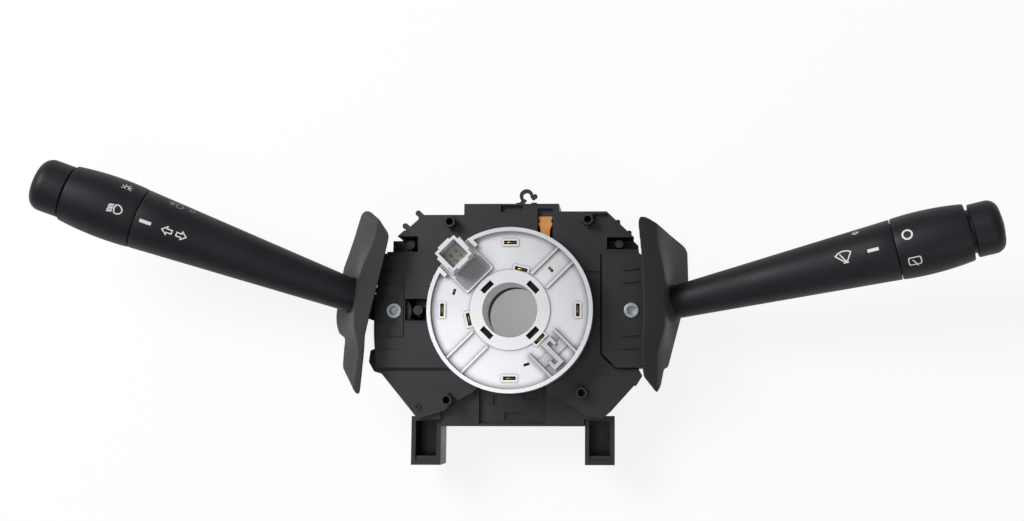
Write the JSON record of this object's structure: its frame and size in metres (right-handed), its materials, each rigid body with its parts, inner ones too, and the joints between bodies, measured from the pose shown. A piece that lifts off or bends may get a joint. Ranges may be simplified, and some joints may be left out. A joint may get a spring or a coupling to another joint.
{
  "type": "combination stalk switch",
  "caption": "Steering-column switch with light stalk, wiper stalk, contact reel on the shaft axis and clamping collar.",
  "frame": {"origin": "on the steering-shaft axis, at the rear face of the column collar", "axes": "+Z along the shaft axis towards the driver, +Y up, +X to the right as the driver sees it"},
  "size_m": [0.4206, 0.1322, 0.0711],
  "materials": {
    "housing_black": "fine moulded texture, matt",
    "cover_black": "fine moulded texture, satin",
    "shroud_grey": "smooth moulded, satin",
    "stalk_black": "fine spark-eroded texture, satin",
    "reel_silver": "light silver-grey moulded plastic, semi-gloss",
    "black_acetal": "smooth low-friction plastic",
    "connector_black": "smooth moulded",
    "socket_white": "pale grey moulded plastic",
    "tinned_brass": "stamped, bright",
    "rivet_steel": "zinc plated",
    "lever_core": "glass-filled plastic",
    "board_green": "solder mask over laminate",
    "ribbon_copper": "copper film in polyester"
  },
  "bodies": {
    "body": {"rear_housing": "housing_black", "front_cover": "cover_black", "left_switch_case": "housing_black", "right_switch_case": "housing_black", "left_circuit_board": "board_green", "right_circuit_board": "board_green", "left_switch_cover": "cover_black", "right_switch_cover": "cover_black", "left_pivot_pin": "rivet_steel", "right_pivot_pin": "rivet_steel", "left_connector": "connector_black", "reel_connector": "connector_black", "right_connector": "connector_black", "left_connector_pins": "tinned_brass", "reel_connector_pins": "tinned_brass", "right_connector_pins": "tinned_brass", "column_clamp": "rivet_steel", "clamp_screw": "rivet_steel", "reel_base": "cover_black", "ribbon_cable": "ribbon_copper", "ribbon_tail": "ribbon_copper"},
    "reel": {"reel_disc": "reel_silver", "cancel_sleeve": "black_acetal", "reel_contacts": "tinned_brass", "airbag_socket": "socket_white", "airbag_pins": "tinned_brass", "wire_latch": "socket_white"},
    "left_carrier_body": {"left_carrier": "black_acetal", "left_cross_pin": "rivet_steel", "left_detent_spring": "rivet_steel"},
    "left_plunger": {"left_detent_plunger": "black_acetal"},
    "left_lever": {"left_lever_arm": "lever_core", "left_stalk": "stalk_black", "left_shroud": "shroud_grey"},
    "left_knob": {"left_light_knob": "stalk_black", "left_end_cap": "stalk_black"},
    "left_slide": {"left_contact_slide": "black_acetal", "left_slide_contacts": "tinned_brass"},
    "right_carrier_body": {"right_carrier": "black_acetal", "right_cross_pin": "rivet_steel", "right_detent_spring": "rivet_steel"},
    "right_plunger": {"right_detent_plunger": "black_acetal"},
    "right_lever": {"right_lever_arm": "lever_core", "right_stalk": "stalk_black", "right_shroud": "shroud_grey", "button_spring": "rivet_steel"},
    "right_knob": {"right_rear_wiper_knob": "stalk_black"},
    "right_button": {"right_end_button": "stalk_black"},
    "right_slide": {"right_contact_slide": "black_acetal", "right_slide_contacts": "tinned_brass"}
  },
  "joints": [
    {"name": "reel_turn", "type": "hinge", "parent": "body", "child": "reel", "pos_m": [0, 0, 0.0487], "axis": [0, 0, 1], "range_deg": [-900, 900]},
    {"name": "left_indicator", "type": "hinge", "parent": "body", "child": "left_carrier_body", "pos_m": [-0.0528, 0.0006, 0.024], "axis": [0, 0, 1], "range_deg": [0, 14.2]},
    {"name": "left_beam", "type": "hinge", "parent": "left_carrier_body", "child": "left_lever", "pos_m": [-0.0629, 0.00422, 0.02644], "axis": [0.3371, 0.9415, 0], "range_deg": [0, 6], "stiffness_Nm_per_rad": 4, "springref_deg": -1.72},
    {"name": "left_light_knob_turn", "type": "hinge", "parent": "left_lever", "child": "left_knob", "pos_m": [-0.1637, 0.04031, 0.05076], "axis": [-0.9181, 0.3287, 0.2215], "range_deg": [-60, 0]},
    {"name": "left_detent", "type": "slide", "parent": "left_carrier_body", "child": "left_plunger", "axis": [-0.832, 0.5548, 0], "range_m": [0, 0.0008], "stiffness_N_per_m": 400, "springref_m": -0.001, "deforming": ["left_detent_spring"]},
    {"name": "left_contacts", "type": "slide", "parent": "body", "child": "left_slide", "axis": [0, 1, 0], "range_m": [0, 0.0027]},
    {"name": "right_wiper", "type": "hinge", "parent": "body", "child": "right_carrier_body", "pos_m": [0.0528, 0.0006, 0.024], "axis": [0, 0, 1], "range_deg": [-15, 5]},
    {"name": "right_wash", "type": "hinge", "parent": "right_carrier_body", "child": "right_lever", "pos_m": [0.06327, 0.00294, 0.02644], "axis": [0.2181, -0.9759, 0], "range_deg": [0, 5], "stiffness_Nm_per_rad": 4, "springref_deg": -1.72},
    {"name": "right_rear_wiper_turn", "type": "hinge", "parent": "right_lever", "child": "right_knob", "pos_m": [0.16776, 0.0263, 0.05076], "axis": [0.9517, 0.2127, 0.2215], "range_deg": [0, 30]},
    {"name": "right_button_push", "type": "slide", "parent": "right_lever", "child": "right_button", "axis": [-0.9517, -0.2127, -0.2215], "range_m": [0, 0.0015], "stiffness_N_per_m": 400, "springref_m": -0.002, "deforming": ["button_spring"]},
    {"name": "right_detent", "type": "slide", "parent": "right_carrier_body", "child": "right_plunger", "axis": [0.8942, 0.4478, 0], "range_m": [0, 0.0008], "stiffness_N_per_m": 400, "springref_m": -0.001, "deforming": ["right_detent_spring"]},
    {"name": "right_contacts", "type": "slide", "parent": "body", "child": "right_slide", "axis": [0, 1, 0], "range_m": [-0.001, 0.0028]}
  ],
  "couplings": [
    {"joint": "left_contacts", "follows": "left_indicator", "m_per_rad": 0.010453},
    {"joint": "right_contacts", "follows": "right_wiper", "m_per_rad": -0.01022}
  ]
}
